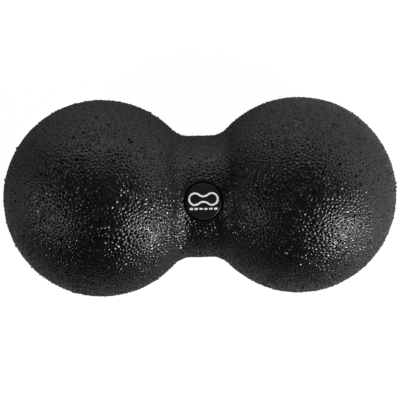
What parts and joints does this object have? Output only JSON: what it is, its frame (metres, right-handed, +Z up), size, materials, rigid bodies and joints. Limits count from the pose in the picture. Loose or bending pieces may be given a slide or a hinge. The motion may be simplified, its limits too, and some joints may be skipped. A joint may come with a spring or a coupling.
{
  "type": "massage ball",
  "caption": "Twin-lobe foam massage ball: two equal pebbled balls on a short round neck, with a round printed badge let into the neck.",
  "frame": {"origin": "on the surface that the ball lies on, midway between the two lobes and under the long axis", "axes": "+X along the long axis through both lobes, +Z up, out of the badge; the print reads from -Y, with its foot towards -Y"},
  "size_m": [0.24, 0.12, 0.12],
  "materials": {
    "foam_skin": "black bead foam with a pebbled, slightly shiny moulded skin",
    "badge_plastic": "satin",
    "adhesive_pad": "matte",
    "white_print": "satin"
  },
  "bodies": {
    "root": {"foam_body": "foam_skin", "badge_adhesive": "adhesive_pad", "badge_disc": "badge_plastic", "badge_print_emblem": "white_print", "badge_print_dash_1": "white_print", "badge_print_dash_2": "white_print", "badge_print_dash_3": "white_print", "badge_print_dash_4": "white_print", "badge_print_dash_5": "white_print", "badge_print_dash_6": "white_print"}
  },
  "joints": []
}
